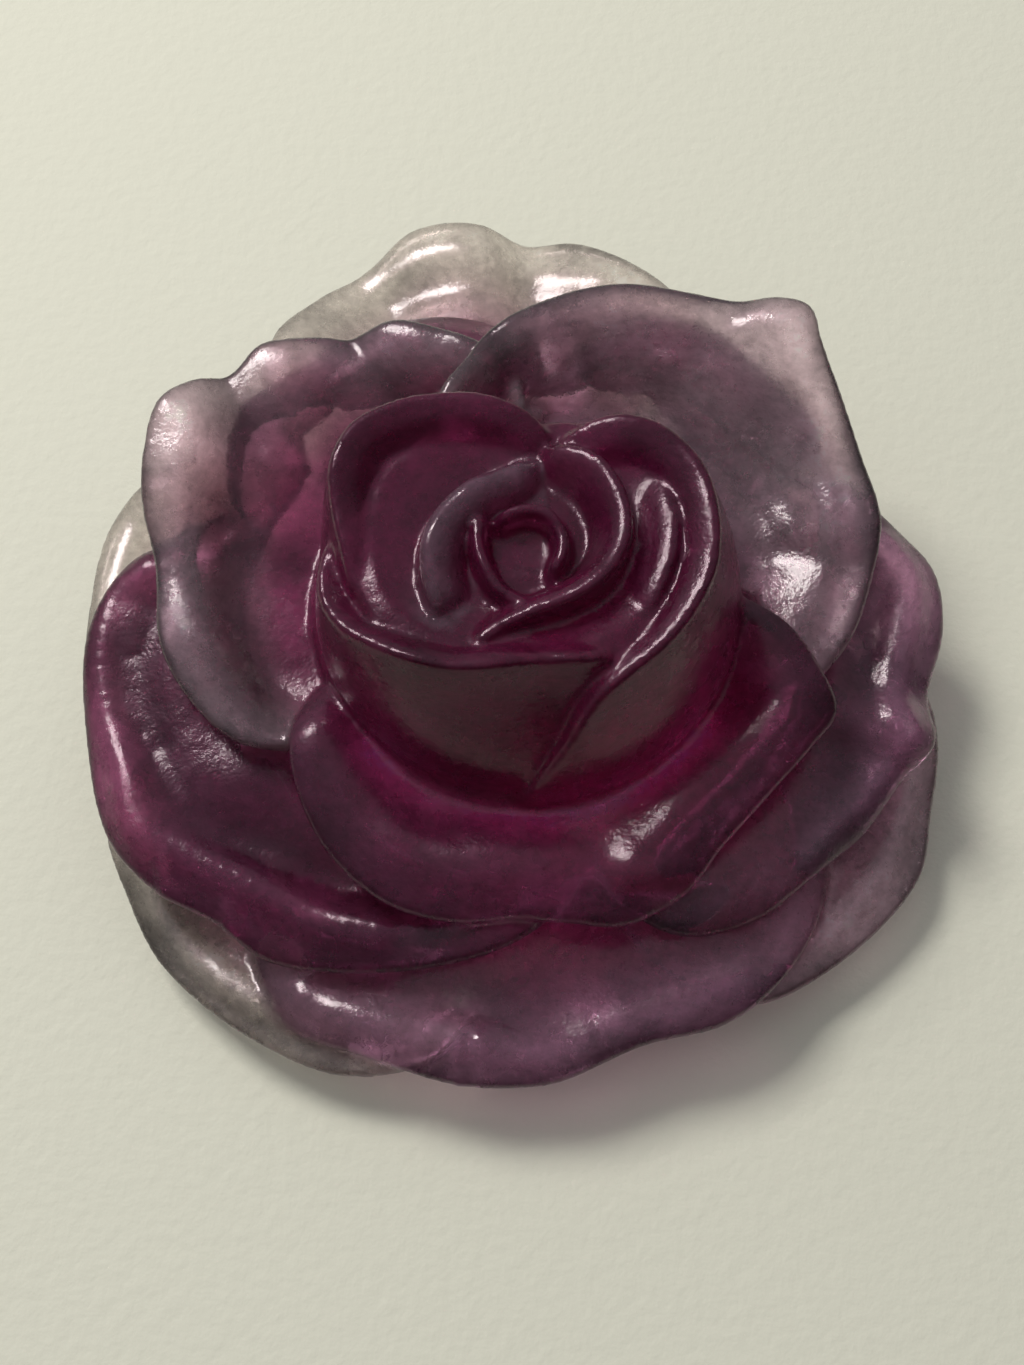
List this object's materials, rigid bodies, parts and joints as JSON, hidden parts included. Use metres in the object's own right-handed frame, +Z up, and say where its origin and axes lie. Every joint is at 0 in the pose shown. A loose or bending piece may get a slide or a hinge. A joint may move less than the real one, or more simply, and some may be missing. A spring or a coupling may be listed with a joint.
{
  "type": "cast glass rose",
  "caption": "Open rose in full bloom cast as one piece of satin purple glass, with a rolled bud, wide wavy petals and a flat ground foot to rest on.",
  "frame": {"origin": "middle of the footprint, at the height of the surface that the foot rests on", "axes": "+Z up through the bud, +X to the right and +Y to the back when the lowest wide petal faces the viewer"},
  "size_m": [0.0988, 0.1074, 0.0391],
  "materials": {
    "purple_glass": "satin"
  },
  "bodies": {
    "root": {"rose": "purple_glass"}
  },
  "joints": []
}
